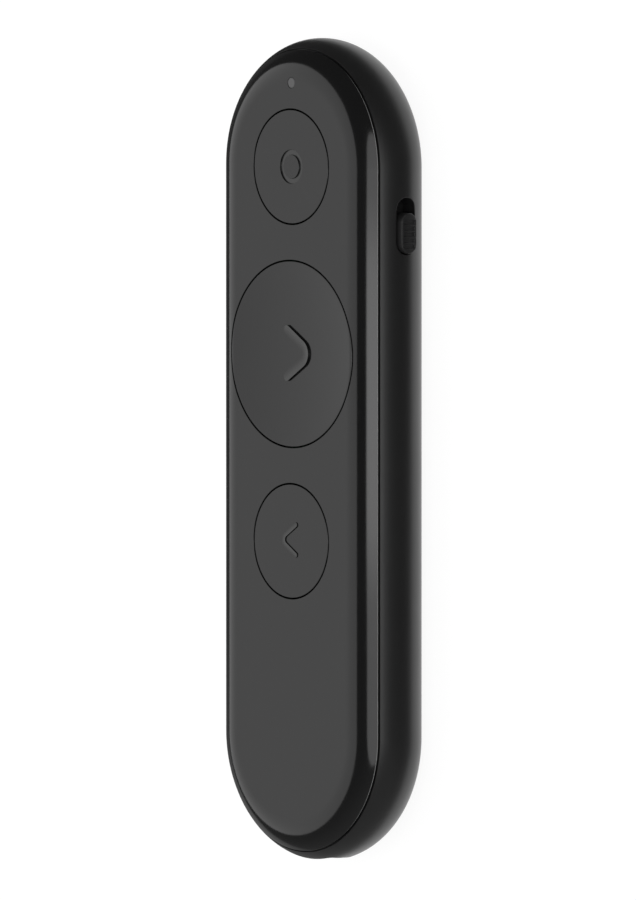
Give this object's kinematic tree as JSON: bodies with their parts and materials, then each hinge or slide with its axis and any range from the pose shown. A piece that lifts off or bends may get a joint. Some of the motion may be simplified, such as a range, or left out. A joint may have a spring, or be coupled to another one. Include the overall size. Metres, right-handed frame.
{
  "type": "wireless presentation clicker",
  "caption": "Slim pill-shaped presentation clicker: round keys on a flat face, an indicator light, a slide switch on the side and a charging port in the lower end.",
  "frame": {"origin": "middle of the flat back, on its surface", "axes": "+Z out of the face with the keys, +Y along the body towards the indicator light, +X towards the slide switch"},
  "size_m": [0.0367, 0.1157, 0.0123],
  "materials": {
    "housing_plastic": "satin moulded, near black",
    "cover_plastic": "smooth semi-gloss, near black",
    "key_plastic": "smooth semi-gloss, near black",
    "knob_plastic": "matt moulded, black",
    "light_pipe_plastic": "smoky grey, clear",
    "plated_steel": "nickel plated, satin",
    "spring_steel": "bright spring steel",
    "gold_plate": "gold plated",
    "switch_plastic": "matt black",
    "chip_resin": "matt black moulding resin",
    "white_nylon": "natural white, satin",
    "white_ceramic": "fine white ceramic",
    "capacitor_ceramic": "fired tan ceramic",
    "board_laminate": "green solder mask over glass laminate",
    "pouch_foil": "crinkled satin foil",
    "amber_tape": "amber polyimide tape",
    "adhesive_foam": "fine closed-cell foam",
    "red_insulation": "smooth insulation",
    "black_insulation": "smooth insulation"
  },
  "bodies": {
    "casing": {"rear_housing": "housing_plastic", "front_cover": "cover_plastic", "light_pipe": "light_pipe_plastic", "spot_dome": "spring_steel", "next_dome": "spring_steel", "back_dome": "spring_steel", "spot_switch": "switch_plastic", "next_switch": "switch_plastic", "back_switch": "switch_plastic", "slide_switch_base": "switch_plastic", "slide_switch_frame": "plated_steel", "port_shell": "plated_steel", "port_tongue": "switch_plastic", "port_contacts": "gold_plate", "circuit_board": "board_laminate", "board_screws": "plated_steel", "radio_chip": "chip_resin", "crystal": "plated_steel", "chip_antenna": "white_ceramic", "charging_chip": "chip_resin", "motion_sensor": "chip_resin", "passives": "capacitor_ceramic", "indicator_led": "white_ceramic", "cell_pouch": "pouch_foil", "cell_protection": "amber_tape", "cell_pad": "adhesive_foam", "cell_header": "white_nylon", "cell_plug": "white_nylon", "cell_lead_red": "red_insulation", "cell_lead_black": "black_insulation"},
    "spot_key": {"spot_button": "key_plastic", "spot_stem": "white_nylon"},
    "next_key": {"next_button": "key_plastic", "next_stem": "white_nylon"},
    "back_key": {"back_button": "key_plastic", "back_stem": "white_nylon"},
    "power_slider": {"slide_knob": "knob_plastic", "slide_lever": "white_nylon"}
  },
  "joints": [
    {"name": "spot_press", "type": "slide", "parent": "casing", "child": "spot_key", "axis": [0, 0, -1], "range_m": [0, 0.0003], "stiffness_N_per_m": 1000, "deforming": ["spot_dome"]},
    {"name": "next_press", "type": "slide", "parent": "casing", "child": "next_key", "axis": [0, 0, -1], "range_m": [0, 0.0003], "stiffness_N_per_m": 1000, "deforming": ["next_dome"]},
    {"name": "back_press", "type": "slide", "parent": "casing", "child": "back_key", "axis": [0, 0, -1], "range_m": [0, 0.0003], "stiffness_N_per_m": 1000, "deforming": ["back_dome"]},
    {"name": "power_slide", "type": "slide", "parent": "casing", "child": "power_slider", "axis": [0, 1, 0], "range_m": [0, 0.002]}
  ]
}
